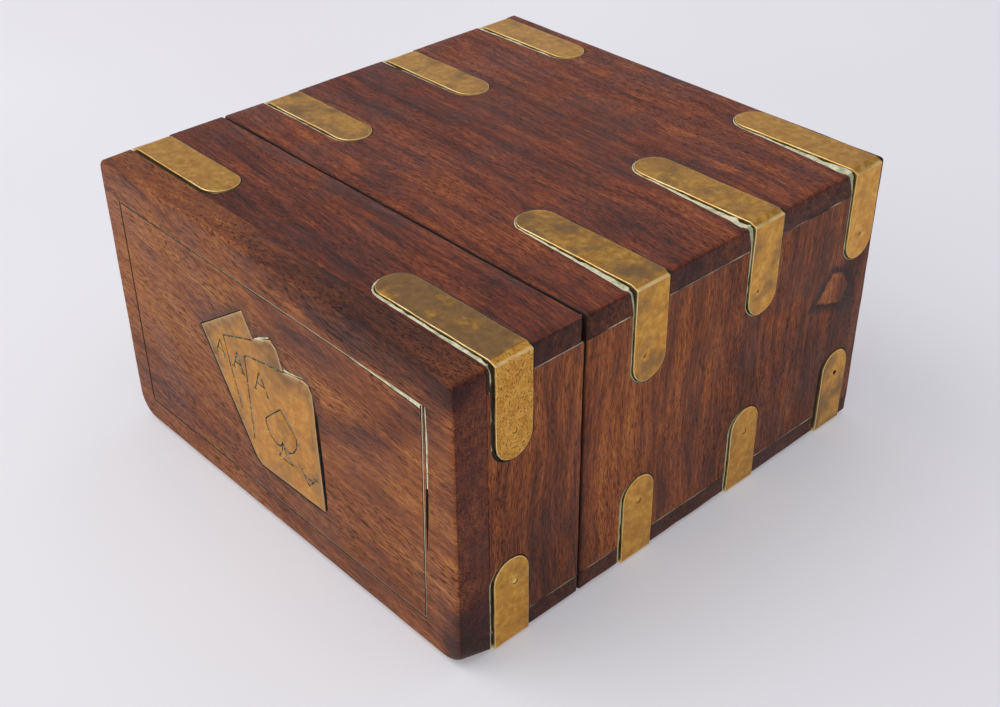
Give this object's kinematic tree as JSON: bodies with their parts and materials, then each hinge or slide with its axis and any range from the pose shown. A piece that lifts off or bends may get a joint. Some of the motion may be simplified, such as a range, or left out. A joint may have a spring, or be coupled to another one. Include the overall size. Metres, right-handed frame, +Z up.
{
  "type": "playing card box",
  "caption": "Brass-bound hardwood box for playing cards, with a pull-off cap that carries an inlaid fan of aces and two card wells inside.",
  "frame": {"origin": "on the ground under the box's centre", "axes": "+X to the right as you face the inlaid cap panel, +Y from that panel to the back, +Z up"},
  "size_m": [0.1546, 0.163, 0.0903],
  "materials": {
    "plank_wood": "waxed dark reddish hardwood, satin",
    "side_wood": "waxed reddish-brown hardwood, satin",
    "panel_wood": "waxed warm brown hardwood with dark pores, satin",
    "liner_wood": "bare planed hardwood, matt",
    "brass": "aged, hand-filed, lightly pitted"
  },
  "bodies": {
    "base": {"base_top_board": "plank_wood", "base_bottom_board": "plank_wood", "base_left_board": "side_wood", "base_right_board": "side_wood", "back_panel": "plank_wood", "liner_top": "liner_wood", "liner_bottom": "liner_wood", "liner_left": "liner_wood", "liner_right": "liner_wood", "well_divider": "liner_wood", "base_strap_top_right_1": "brass", "base_strap_top_right_2": "brass", "base_strap_top_right_3": "brass", "base_strap_top_left_1": "brass", "base_strap_top_left_2": "brass", "base_strap_top_left_3": "brass", "base_strap_bottom_right_1": "brass", "base_strap_bottom_right_2": "brass", "base_strap_bottom_right_3": "brass", "base_strap_bottom_left_1": "brass", "base_strap_bottom_left_2": "brass", "base_strap_bottom_left_3": "brass", "base_pin_top_right_1": "brass", "base_pin_top_right_2": "brass", "base_pin_top_right_3": "brass", "base_pin_top_left_1": "brass", "base_pin_top_left_2": "brass", "base_pin_top_left_3": "brass", "base_pin_bottom_right_1": "brass", "base_pin_bottom_right_2": "brass", "base_pin_bottom_right_3": "brass", "base_pin_bottom_left_1": "brass", "base_pin_bottom_left_2": "brass", "base_pin_bottom_left_3": "brass"},
    "cap": {"cap_front_panel": "panel_wood", "cap_top_board": "plank_wood", "cap_bottom_board": "plank_wood", "cap_left_board": "side_wood", "cap_right_board": "side_wood", "cap_strap_top_right": "brass", "cap_strap_top_left": "brass", "cap_strap_bottom_right": "brass", "cap_strap_bottom_left": "brass", "cap_pin_top_right": "brass", "cap_pin_top_left": "brass", "cap_pin_bottom_right": "brass", "cap_pin_bottom_left": "brass", "border_line_top": "brass", "border_line_bottom": "brass", "border_line_left": "brass", "border_line_right": "brass", "card_fan_plate": "brass"}
  },
  "joints": [
    {"name": "cap_slide", "type": "slide", "parent": "base", "child": "cap", "axis": [0, -1, 0], "range_m": [0, 0.12]}
  ]
}
